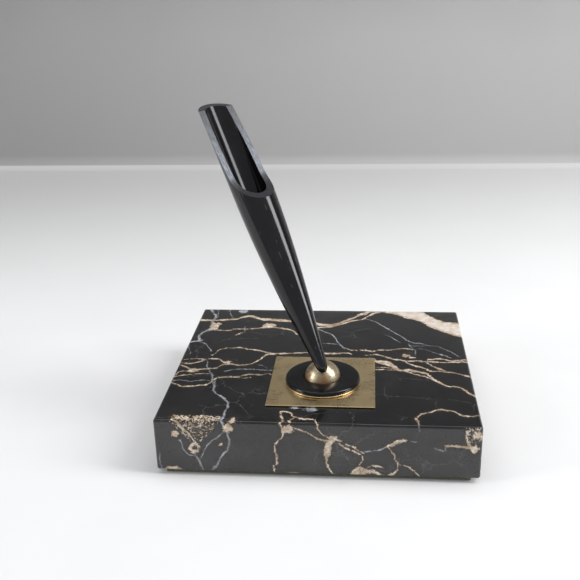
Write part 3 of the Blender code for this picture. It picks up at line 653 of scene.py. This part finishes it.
def marble_material():
    """Black marble with cream, gold and white veins."""
    s = Shader("marble")
    x, y, z = s.xyz(s.mm)
    depth = s.math('MAXIMUM', s.math('SUBTRACT', SLAB_TOP / MM, z), 0.0)
    # below the top the pattern draws towards the middle, so that it runs on down the sides
    drawn_in_per_mm = 0.017
    shrink = s.math('MULTIPLY_ADD', depth, -drawn_in_per_mm, 1.0)
    waves = s.vector('SUBTRACT', s.noise(s.mm, 0.16, 2.0, 0.5, colour=True), (0.5, 0.5, 0.5))
    ripple = s.vector('SUBTRACT', s.noise(s.mm, 0.75, 3.0, 0.6, colour=True), (0.5, 0.5, 0.5))
    warp = s.vector('ADD', s.vector('SCALE', waves, scale=2.6), s.vector('SCALE', ripple, scale=1.5))
    flat = s.join(s.math('MULTIPLY', x, shrink), s.math('MULTIPLY', y, shrink), 0.0)
    on_top = s.vector('ADD', flat, warp)
    on_front = s.vector('MULTIPLY_ADD', warp, (0.6, 0.6, 0.6), s.join(x, z, 0.0))

    gold, white, band = top_veins(s, on_top)
    front_gold, front_white = front_veins(s, on_front)
    ledge, front_crumbs = crumbs(s, on_top, on_front)
    # the front's own veins take over in the rounding of the front edge
    face_y = SLAB_LOW.y / MM
    front = s.ramp(y, face_y + 0.35, face_y + 0.6, 1.0, 0.0)
    front_gold = s.math('MAXIMUM', front_gold, front_crumbs)
    gold = s.blend(front, s.math('MAXIMUM', gold, ledge), front_gold)
    white = s.blend(front, white, front_white)

    # crumbly edges
    grit = s.math('SUBTRACT', s.noise(s.mm, 2.3, 3.0, 0.65), 0.5)
    swell = s.math('SUBTRACT', s.noise(s.mm, 0.42, 3.0, 0.6), 0.5)
    gold_edge = s.math('MULTIPLY_ADD', swell, 1.3, s.math('MULTIPLY_ADD', grit, 1.9, gold))
    white_edge = s.math('MULTIPLY_ADD', swell, 0.9, s.math('MULTIPLY_ADD', grit, 1.0, white))
    gold_mask = s.ramp(gold_edge, -0.10, 0.26)
    white_mask = s.ramp(white_edge, -0.20, 0.42, 0.0, 0.82)
    halo = s.ramp(gold, -2.6, 0.0, 0.0, 0.55)

    sides = s.ramp(depth, 0.3, 1.2)
    black = dark_stone(s, sides, halo, hairlines(s, warp))
    body = s.noise(s.mm, 0.35, 4.0, 0.65)
    cream = cream_stone(s, body, band)
    chalk = s.mix(s.ramp(body, 0.35, 0.65), (0.22, 0.235, 0.26), (0.56, 0.57, 0.61))
    colour = s.mix(white_mask, black, chalk)
    colour = s.mix(gold_mask, colour, cream)

    veined = s.math('MAXIMUM', gold_mask, white_mask)
    haze = s.noise(s.mm, 0.25, 4.0, 0.7)
    polish = s.math('MULTIPLY_ADD', veined, 0.10, s.ramp(haze, 0.3, 0.8, 0.10, 0.20))
    polish = s.math('MULTIPLY_ADD', sides, 0.16, polish)
    pits = s.ramp(s.cells(s.mm, 0.9), 0.0, 0.10, -1.0, 0.0)
    s.bump(s.math('MULTIPLY_ADD', pits, 0.6, s.math('MULTIPLY', veined, -0.35)), 0.25, 0.00006)
    s.bump(s.noise(s.mm, 0.6, 3.0), 0.04, 0.0002)
    return s.set(Base_Color=colour, Roughness=polish, IOR=1.52)


# ======== other materials ========
def felt_material():
    """Olive felt with pale tufts."""
    s = Shader("felt")
    fibre = s.noise(s.vector('MULTIPLY', s.mm, (1.0, 1.0, 2.4)), 3.2, 4.0, 0.7, 1.2)
    tuft = s.noise(s.mm, 0.8, 3.0)
    colour = s.mix(s.ramp(fibre, 0.35, 0.68), (0.028, 0.032, 0.016), (0.13, 0.14, 0.075))
    colour = s.mix(s.ramp(tuft, 0.45, 0.7, 0.0, 0.4), colour, (0.19, 0.19, 0.12))
    s.bump(fibre, 0.8, 0.0004)
    s.set(Sheen_Weight=0.35, Sheen_Roughness=0.6)
    return s.set(Base_Color=colour, Roughness=s.ramp(fibre, 0.3, 0.7, 0.98, 0.86))


def brushed(name, light, dark, rough, stretch, scale, wear=(0.2, 0.13, 0.07), spotting=0.4):
    """Metal with fine straight brushing, handling marks and darker spots."""
    s = Shader(name)
    lines = s.noise(s.vector('MULTIPLY', s.mm, stretch), scale, 3.0, 0.65)
    smear = s.noise(s.mm, 0.14, 4.0, 0.6)
    spots = s.ramp(s.noise(s.mm, 1.4, 3.0, 0.6), 0.68, 0.78)
    colour = s.mix(s.ramp(smear, 0.32, 0.68), dark, light)
    colour = s.mix(s.ramp(lines, 0.3, 0.7, 0.0, 0.22), colour, dark)
    colour = s.mix(s.math('MULTIPLY', spots, spotting), colour, wear)
    roughness = s.ramp(smear, 0.3, 0.75, rough - 0.05, rough + 0.07)
    roughness = s.math('ADD', roughness, s.ramp(lines, 0.3, 0.7, 0.0, 0.06))
    s.bump(lines, 0.10, 0.00005)
    s.bump(spots, 0.3 * spotting, 0.00003)
    return s.set(Base_Color=colour, Roughness=roughness, Metallic=1.0)


def ball_material(front):
    """Polished brass, tarnished brown in patches and most of all in one spot at its front, where a painted
    reflection of the disc and plate darkens it too.
    """
    s = Shader("ball_brass", BALL_FRAME)
    cloud = s.noise(s.mm, 0.28, 4.0, 0.62, 0.6)
    grain = s.noise(s.mm, 1.9, 3.0, 0.6)
    low = s.ramp(s.noise(s.mm, 0.16, 2.0), 0.42, 0.6)
    tarnish_and_painted_reflection = s.math('MULTIPLY', s.ramp(cloud, 0.44, 0.66), low)
    facing = s.vector('DOT_PRODUCT', s.vector('NORMALIZE', s.mm), tuple(front))
    # a spot turned towards the camera: real tarnish with a painted reflection of the disc and plate on top
    spot = s.ramp(s.math('MULTIPLY_ADD', s.math('SUBTRACT', cloud, 0.5), 0.25, facing), 0.87, 1.0)
    tarnish_and_painted_reflection = s.math('MAXIMUM', tarnish_and_painted_reflection, spot)
    colour = s.mix(s.ramp(grain, 0.35, 0.7), (0.46, 0.375, 0.24), (0.66, 0.58, 0.42))
    colour = s.mix(s.math('MULTIPLY', tarnish_and_painted_reflection, 0.85), colour, (0.30, 0.15, 0.075))
    specks = s.ramp(s.cells(s.mm, 1.3), 0.06, 0.16, 1.0, 0.0)
    colour = s.mix(s.math('MULTIPLY', specks, 0.5), colour, (0.20, 0.12, 0.06))
    roughness = s.math('MULTIPLY_ADD', tarnish_and_painted_reflection, 0.22, s.ramp(grain, 0.3, 0.7, 0.26, 0.40))
    s.bump(grain, 0.25, 0.00010)
    s.bump(specks, -0.3, 0.00004)
    return s.set(Base_Color=colour, Roughness=roughness, Metallic=1.0)


def gloss_black(name, scuffs, rough=0.09, along=(1.0, 1.0, 0.06), shine=1.47, turned=None):
    """Glossy black moulding with dust, fine scratches and handling haze."""
    s = Shader(name, turned)
    haze = s.noise(s.mm, 0.12, 4.0, 0.6)
    scratch = s.noise(s.vector('MULTIPLY', s.mm, along), 2.4, 2.0, 0.5)
    scratch = s.ramp(scratch, 0.70, 0.74)
    dust = s.ramp(s.cells(s.mm, 0.75), 0.02, 0.07, 1.0, 0.0)
    dust = s.math('MULTIPLY', dust, s.ramp(s.noise(s.mm, 0.4, 2.0), 0.5, 0.62))
    dust = s.math('MULTIPLY', dust, 0.6 * scuffs)
    marks = s.math('MAXIMUM', s.math('MULTIPLY', scratch, 0.5 * scuffs), dust)
    colour = s.mix(s.ramp(haze, 0.3, 0.8), (0.0045, 0.0045, 0.005), (0.009, 0.009, 0.0105))
    colour = s.mix(marks, colour, (0.14, 0.15, 0.16))
    roughness = s.math('MULTIPLY_ADD', marks, 0.5, s.ramp(haze, 0.35, 0.8, rough, rough + 0.09))
    s.bump(haze, 0.05, 0.0003)
    s.bump(marks, 0.2, 0.00003)
    return s.set(Base_Color=colour, Roughness=roughness, IOR=shine)


def ground_black():
    """The socket's cut faces: plastic ground flat, with fine tool marks, a bloom and a painted bluish
    reflection of a window, brightest near the foot of the lip.
    """
    s = Shader("socket_cut", TUBE_FRAME)
    lines = s.noise(s.vector('MULTIPLY', s.mm, (0.5, 3.2, 0.22)), 1.6, 4.0, 0.7)
    cross = s.noise(s.vector('MULTIPLY', s.mm, (0.4, 0.5, 3.0)), 1.1, 3.0, 0.6)
    bloom = s.noise(s.mm, 0.3, 3.0)
    worn = s.math('MULTIPLY', s.ramp(lines, 0.42, 0.66), s.ramp(bloom, 0.25, 0.65, 0.35, 1.0))
    height = s.xyz(s.mm)[2]
    # painted reflection of a window: pale and bluish near the foot of the lip, fading towards the mouth
    painted_window_reflection = s.math('MULTIPLY', s.ramp(height, 112.0, 86.0, 0.12, 1.0), s.ramp(height, 78.5, 81.5))
    dark_tone = s.mix(painted_window_reflection, (0.018, 0.019, 0.022), (0.060, 0.070, 0.095))
    pale_tone = s.mix(painted_window_reflection, (0.030, 0.032, 0.037), (0.330, 0.360, 0.430))
    colour = s.mix(worn, dark_tone, pale_tone)
    colour = s.mix(s.ramp(cross, 0.62, 0.72, 0.0, 0.35), colour, (0.21, 0.225, 0.26))
    s.bump(lines, 0.35, 0.00008)
    s.bump(cross, 0.15, 0.00004)
    return s.set(Base_Color=colour, Roughness=s.ramp(lines, 0.3, 0.7, 0.24, 0.42), IOR=1.54)


def moulded(name, light, dark, rough):
    """Plain moulded or pressed part with mottling and fine grain."""
    s = Shader(name)
    mottle = s.noise(s.mm, 0.5, 4.0, 0.6)
    grain = s.noise(s.mm, 4.0, 3.0, 0.6)
    colour = s.mix(s.ramp(mottle, 0.3, 0.7), dark, light)
    colour = s.mix(s.ramp(grain, 0.55, 0.75, 0.0, 0.35), colour, dark)
    s.bump(grain, 0.2, 0.00006)
    return s.set(Base_Color=colour, Roughness=s.ramp(grain, 0.3, 0.7, rough - 0.06, rough + 0.08))


# ======== pieces ========
def build_slab(marble):
    """The slab, bored for the ball joint's cup, its screw and, from below, its nut."""
    half = (SLAB_HIGH - SLAB_LOW) / 2
    bm = rounded_box(half, radius=0.9 * MM, step=2.6 * MM, nicks=0.32 * MM, grain=420.0)
    slab = mesh_object("marble_slab", bm, [marble], Matrix.Translation((SLAB_LOW + SLAB_HIGH) / 2))
    screw_hole = 2.7 * MM
    nut_hole = 7.6 * MM
    well_floor = SLAB_TOP - 12.3 * MM
    nut_floor = SLAB_LOW.z + 5.4 * MM
    above = SLAB_TOP + 2 * MM
    below = SLAB_LOW.z - 1 * MM
    outline = [
        (0.0, above), (WELL_RADIUS, above), (WELL_RADIUS, well_floor), (screw_hole, well_floor),
        (screw_hole, nut_floor), (nut_hole, nut_floor), (nut_hole, below), (0.0, below),
    ]
    bore = mesh_object("bore_cutter", lathe(outline, 64, closed=False), [marble], PIVOT_COLUMN)
    carve(slab, [bore])
    clean(slab)
    piece(slab, "base", "marble", "marble_base")


def build_felt(felt):
    """The felt sheet. It reaches further to the front and back than the CAD's, so that its edge shows."""
    low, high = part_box("felt_pad")
    half = (high - low) / 2
    half.y += 1.4 * MM
    bm = rounded_box(half, radius=0.4 * MM, step=1.7 * MM, nicks=0.45 * MM, grain=900.0)
    pad = mesh_object("felt_sheet", bm, [felt], Matrix.Translation((low + high) / 2), smooth=60.0)
    piece(pad, "base", "felt", "felt_pad")


def build_plate(brass):
    """The square plate with its round hole."""
    low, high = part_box("brass_plate")
    bm = rounded_box((high - low) / 2, radius=0.13 * MM, step=2.0 * MM, nicks=0.05 * MM, grain=300.0)
    plate = mesh_object("satin_plate", bm, [brass], Matrix.Translation((low + high) / 2))
    hole = lathe(rod(WELL_RADIUS, SLAB_TOP - 3 * MM, SLAB_TOP + 3 * MM), 96, closed=False)
    carve(plate, [mesh_object("plate_cutter", hole, [brass], PIVOT_COLUMN)])
    clean(plate)
    piece(plate, "base", "satin_brass", "brass_plate")


def build_rim(brass):
    """The thin ring under the cap, with eased corners."""
    low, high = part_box("rim_ring")
    outer = (high.x - low.x) / 2
    profile = [(WELL_RADIUS, high.z), (outer, high.z), (outer, low.z), (WELL_RADIUS, low.z)]
    ring = mesh_object("gilt_rim", lathe(eased(profile, 0.16 * MM), 160), [brass], PIVOT_COLUMN)
    piece(ring, "base", "polished_brass", "rim_ring")


def cap_skirt(under, low):
    """The cap's threaded skirt, down its outside and up its inside."""
    crest, root, inside = 9.6 * MM, 9.45 * MM, 8.7 * MM
    turns = 6
    pitch = 0.75 * MM
    skirt = [(crest, under)]
    for k in range(turns):
        z = under - 0.5 * MM - k * pitch
        skirt += [(crest, z), (root, z - 0.35 * pitch)]
    return skirt + [(crest, low + 0.2 * MM), (9.4 * MM, low), (inside, low), (inside, under)]


def build_cap(black):
    """The round cap: rounded edge, threaded skirt and an opening that fits the ball."""
    low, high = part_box("escutcheon_cap")
    top = high.z
    under = top - 1.25 * MM
    foot_z = under - 0.12 * MM
    radius = 14.0 * MM
    shoulder = 0.8 * MM
    toe = 0.15 * MM
    seat = 7.15 * MM
    dip = 0.02 * MM
    half_top = math.degrees(math.asin((top - PIVOT.z) / seat))
    half_under = math.degrees(math.asin((under - PIVOT.z) / seat))
    outer = arc((radius - shoulder, top - shoulder), shoulder, 90.0, 0.0, 10)
    foot = arc((radius - toe, foot_z + toe), toe, 0.0, -90.0, 3) + [(13.0 * MM, foot_z), (12.9 * MM, under)]
    opening = arc((0.0, PIVOT.z), seat, half_under, half_top - 2.0, 5)
    lip_radius = seat * math.cos(math.radians(half_top))
    lip = [(lip_radius + 0.10 * MM, top - dip), (lip_radius + 0.35 * MM, top), (10.5 * MM, top - dip)]
    profile = outer + foot + cap_skirt(under, low.z) + opening + lip
    cap = mesh_object("round_cap", lathe(profile, 160), [black], PIVOT_COLUMN, smooth=30.0)
    piece(cap, "base", "black_gloss", "escutcheon_cap")


def build_ball(gold):
    """The ball, drilled for the stud along its own axis."""
    hole = STUD_HOLE_RADIUS
    bevel = 0.12 * MM
    radius = 6.85 * MM
    start = 90.0 - math.degrees(math.asin(hole / radius))
    rim = radius * math.cos(math.asin(hole / radius))
    skin = arc((0.0, 0.0), radius, start, -90.0, 80)[1:-1]
    profile = [(0.0, STUD_HOLE_FOOT), (hole, STUD_HOLE_FOOT), (hole, rim - bevel), (hole + bevel, rim)]
    profile += [p for p in skin if p[0] > hole + 0.2 * MM or p[1] < 0.0] + [(0.0, -radius)]
    ball = mesh_object("brass_ball", lathe(profile, 128, closed=False), [gold], BALL_FRAME)
    piece(ball, "ball", "polished_brass", "swivel_ball")


def build_stud(steel):
    """The threaded stud between the ball and the socket."""
    crest, root, tip = 1.1 * MM, 0.9 * MM, 0.8 * MM
    reach = STUD_AXIS.length * MM + 1.2 * MM
    start = 2.0 * MM
    pitch = 0.5 * MM
    profile = [(0.0, reach), (tip, reach)]
    z = reach - 0.3 * MM
    while z > start + pitch:
        profile += [(crest, z), (root, z - pitch / 2)]
        z -= pitch
    profile += [(tip, start), (0.0, start)]
    turned = lathe(profile, 48, closed=False)
    stud = mesh_object("threaded_stud", turned, [steel], BALL_FRAME, smooth=25.0)
    piece(stud, "socket", "steel", "ball_stud")


def tube_outside():
    """The socket's outside, from past its mouth to the tip of its nose."""
    past_mouth, mouth, waist = in_mm((8.37, 117.0), (8.35, 114.0), (7.7, 70.0))
    steps = 14
    barrel = [past_mouth]
    for i in range(steps):
        t = i / steps
        barrel.append((mouth[0] - (mouth[0] - waist[0]) * t, mouth[1] - (mouth[1] - waist[1]) * t))
    taper = bezier(waist, *in_mm((7.2, 48.0), (5.2, 29.0), (2.1, 4.0)), 44)
    nose = bezier(*in_mm((2.1, 4.0), (1.68, 2.5), (0.945, 1.8), (0.0, 1.8)), 14)
    return barrel + taper + nose[1:]


def tube_bore():
    """The socket's bore, from its foot to past the mouth."""
    foot = in_mm((0.0, 25.0), (2.0, 25.0), (3.0, 26.0), (4.5, 48.0), (5.1, 62.0))
    return foot + in_mm((5.4, 75.0), (5.57, 85.0), (5.73, 95.0), (5.89, 105.0), (6.05, 117.0))


def scoop_cutter(ground):
    """What is ground away of the socket: all above its curved lip, and its mouth at a slant."""
    reach = 12.0
    lip = bezier(*in_mm((9.5, 67.2), (4.5, 72.8), (1.2, 76.0), (0.15, 81.0)), 36)
    mouth = in_mm((-3.75, 110.136), (-reach, 117.066))
    outline = lip + mouth + in_mm((-reach, 130.0), (reach, 130.0), (reach, 67.2))
    bm = bmesh.new()
    near, far = ([bm.verts.new((x, side * MM, z)) for x, z in outline] for side in (-reach, reach))
    bm.faces.new(near)
    bm.faces.new(list(reversed(far)))
    for i in range(len(outline)):
        n = (i + 1) % len(outline)
        bm.faces.new((near[i], far[i], far[n], near[n]))
    bmesh.ops.recalc_face_normals(bm, faces=bm.faces)
    return mesh_object("scoop_cutter", bm, [ground], TUBE_FRAME)


def build_socket(outside, inside, ground):
    """The socket is turned with its bore, ground away above and across its mouth, and drilled."""
    segments = 144
    bore = tube_bore()
    tube = lathe(bore + tube_outside(), segments, closed=False)
    for face in list(tube.faces)[:segments * (len(bore) - 1)]:
        face.material_index = 1
    socket = mesh_object("pen_tube", tube, [outside, inside, ground], TUBE_FRAME)
    scoop = scoop_cutter(ground)
    stud_hole = lathe(rod(STUD_HOLE_RADIUS, STUD_HOLE_FOOT, 12.2 * MM), 48, closed=False)
    hole = mesh_object("hole_cutter", stud_hole, [inside], BALL_FRAME)
    carve(socket, [scoop, hole])
    clean(socket, smooth=28.0)
    piece(socket, "socket", "black_gloss", "pen_socket")


def build_liner(nylon):
    """The sleeve that holds the pen's nib end."""
    outer = in_mm((4.8, 61.7), (4.2, 48.0), (2.8, 28.0))
    inner = in_mm((2.2, 28.0), (3.6, 48.0), (4.2, 61.7))
    liner = mesh_object("nib_sleeve", lathe(eased(outer + inner, 0.15 * MM), 96), [nylon], TUBE_FRAME)
    piece(liner, "socket", "nylon", "nib_liner")


def repaint(node, material):
    """Give a carried-over CAD piece its finish."""
    mesh = frame["nodes"][node].data
    mesh.materials.clear()
    mesh.materials.append(material)
    for polygon in mesh.polygons:
        polygon.material_index = 0


MARBLE = marble_material()
FELT = felt_material()
PLATE_BRASS = brushed(
    "plate_brass", light=(0.84, 0.65, 0.37), dark=(0.77, 0.59, 0.33), rough=0.27,
    stretch=(0.05, 1.0, 1.0), scale=3.4, spotting=0.07,
)
RIM_BRASS = brushed(
    "rim_brass", light=(0.78, 0.65, 0.43), dark=(0.62, 0.49, 0.29), rough=0.20,
    stretch=(1.0, 1.0, 1.0), scale=1.4,
)
HOUSING_BRASS = brushed(
    "housing_brass", light=(0.62, 0.48, 0.26), dark=(0.45, 0.33, 0.17), rough=0.30,
    stretch=(0.2, 0.2, 3.0), scale=1.6,
)
STEEL = brushed(
    "steel", light=(0.60, 0.60, 0.61), dark=(0.44, 0.44, 0.45), rough=0.26,
    stretch=(0.3, 0.3, 3.0), scale=2.0, wear=(0.16, 0.13, 0.10),
)
# the ball's dark spot, tarnish and a painted reflection of the disc and plate, faces the camera at rest
TARNISH_AND_REFLECTION_SIDE = Vector((0.08, -0.977, 0.2))     # the ball's dark spot looks this way at rest
BALL_BRASS = ball_material(BALL_FRAME.to_3x3().inverted() @ TARNISH_AND_REFLECTION_SIDE)
CAP_BLACK = gloss_black("cap_black", 0.6, rough=0.08, along=(0.2, 1.0, 1.0), shine=1.38)
SOCKET_BLACK = gloss_black("socket_black", 0.8, turned=TUBE_FRAME)
BORE_BLACK = gloss_black("bore_black", 0.5, rough=0.10, shine=1.42, turned=TUBE_FRAME)
CUT_BLACK = ground_black()
NYLON = moulded("nylon", light=(0.74, 0.72, 0.66), dark=(0.58, 0.56, 0.49), rough=0.45)
FIBRE = moulded("fibre", light=(0.34, 0.14, 0.07), dark=(0.20, 0.07, 0.035), rough=0.8)

build_slab(MARBLE)
build_felt(FELT)
build_plate(PLATE_BRASS)
build_rim(RIM_BRASS)
build_cap(CAP_BLACK)
build_ball(BALL_BRASS)
build_stud(STEEL)
build_socket(SOCKET_BLACK, BORE_BLACK, CUT_BLACK)
build_liner(NYLON)
for node_name, node_material in (
    ("ball_housing", HOUSING_BRASS), ("friction_ring", NYLON), ("ball_seat", NYLON), ("seat_spring", STEEL),
    ("mounting_screw", STEEL), ("fibre_washer", FIBRE), ("steel_washer", STEEL), ("lock_washer", STEEL),
    ("hex_nut", STEEL),
):
    repaint(node_name, node_material)


# ======== floor, light and camera ========
def floor_material():
    """A white table with painted shade that greys it a little towards the wall, more so to the left."""
    s = Shader("floor_white")
    soft = s.noise(s.mm, 0.02, 3.0)
    colour = s.mix(s.ramp(soft, 0.3, 0.7), (0.87, 0.87, 0.87), (0.85, 0.85, 0.85))
    side, along, _ = s.xyz(s.mm)
    # painted shade: the floor darker towards the wall and to the left
    far = s.ramp(s.math('MULTIPLY_ADD', side, -0.25, along), 60.0, 460.0)
    colour = s.mix(far, colour, (0.52, 0.52, 0.515))
    s.bump(s.noise(s.mm, 1.2, 2.0), 0.03, 0.0002)
    return s.set(Base_Color=colour, Roughness=0.8)


def wall_material():
    """A pale grey wall with painted shade: darker to the left, and falling off into painted shade above the
    picture.
    """
    s = Shader("wall_grey")
    side, _, height = s.xyz(s.mm)
    shade = s.ramp(s.math('MULTIPLY_ADD', s.noise(s.mm, 0.01, 2.0), 40.0, height), 110.0, 300.0)
    # painted shade: the wall darker to the left, away from the key lamp
    painted_side_shade = s.mix(s.ramp(side, -420.0, 150.0), (0.30, 0.30, 0.295), (0.45, 0.45, 0.442))
    colour = s.mix(shade, painted_side_shade, (0.16, 0.16, 0.16))
    s.bump(s.noise(s.mm, 0.8, 2.0), 0.03, 0.0002)
    return s.set(Base_Color=colour, Roughness=0.9)


def sweep():
    """A floor that curves up into a wall behind the object."""
    back = 0.418
    curve = 0.012
    half_width = 2.2
    drop = 0.0001
    white_up_to = 0.3 * curve
    floor_points = [(-1.4, 0.0), (-0.4, 0.0), (0.2, 0.0)]
    wall_points = [(back, 0.5), (back, 1.1)]
    line = floor_points + arc((back - curve, curve), curve, -90.0, 0.0, 10) + wall_points
    bm = bmesh.new()
    rows = [[bm.verts.new((side, y, z - drop)) for side in (-half_width, half_width)] for y, z in line]
    for a, b in zip(rows, rows[1:]):
        bm.faces.new((a[0], a[1], b[1], b[0]))
    for face in bm.faces:
        face.material_index = 0 if face.calc_center_median().z < white_up_to else 1
    mesh_object("floor", bm, [floor_material(), wall_material()])


def area_light(name, place, target, size, power):
    """A rectangular lamp that faces a target."""
    light = bpy.data.lights.new(name, 'AREA')
    light.shape = 'RECTANGLE'
    light.size, light.size_y = size
    light.energy = power
    obj = bpy.data.objects.new(name, light)
    bpy.context.scene.collection.objects.link(obj)
    obj.location = place
    obj.rotation_euler = (Vector(target) - Vector(place)).to_track_quat('-Z', 'Y').to_euler()


def build_lights():
    """Soft studio light: an even sky and three lamps."""
    world = bpy.data.worlds.new("studio")
    bpy.context.scene.world = world
    world.use_nodes = True
    sky = world.node_tree.nodes["Background"].inputs
    sky["Color"].default_value = (0.95, 0.97, 1.0, 1.0)
    sky["Strength"].default_value = 0.44
    area_light("key", place=(0.80, -0.10, 0.66), target=(0.0, 0.0, 0.03), size=(0.34, 0.80), power=7.4)
    area_light("left", place=(-0.90, -0.32, 0.36), target=(0.0, 0.0, 0.04), size=(0.30, 0.50), power=2.9)
    area_light("overhead", place=(0.0, 0.30, 1.15), target=(0.0, 0.05, 0.0), size=(1.5, 1.0), power=8.8)


def build_camera():
    """The photograph's view: from the front, a little from the right and 22 degrees down."""
    place = Vector((18.16, -301.09, 172.47)) * MM
    azimuth, down, roll = -0.1011, 0.3791, -0.0282
    level = Vector((math.sin(azimuth), math.cos(azimuth), 0.0))
    forward = level * math.cos(down) - Vector((0.0, 0.0, math.sin(down)))
    right = Vector((math.cos(azimuth), -math.sin(azimuth), 0.0))
    up = right.cross(forward)
    across = right * math.cos(roll) + up * math.sin(roll)
    upward = up * math.cos(roll) - right * math.sin(roll)
    camera = bpy.data.cameras.new("camera")
    camera.lens = 52.2
    camera.sensor_width = 36.0
    obj = bpy.data.objects.new("camera", camera)
    bpy.context.scene.collection.objects.link(obj)
    turn = Matrix((across, upward, -forward)).transposed().to_4x4()
    obj.matrix_world = Matrix.Translation(place) @ turn
    bpy.context.scene.camera = obj


bpy.context.scene.view_settings.view_transform = 'Standard'
sweep()
build_lights()
build_camera()
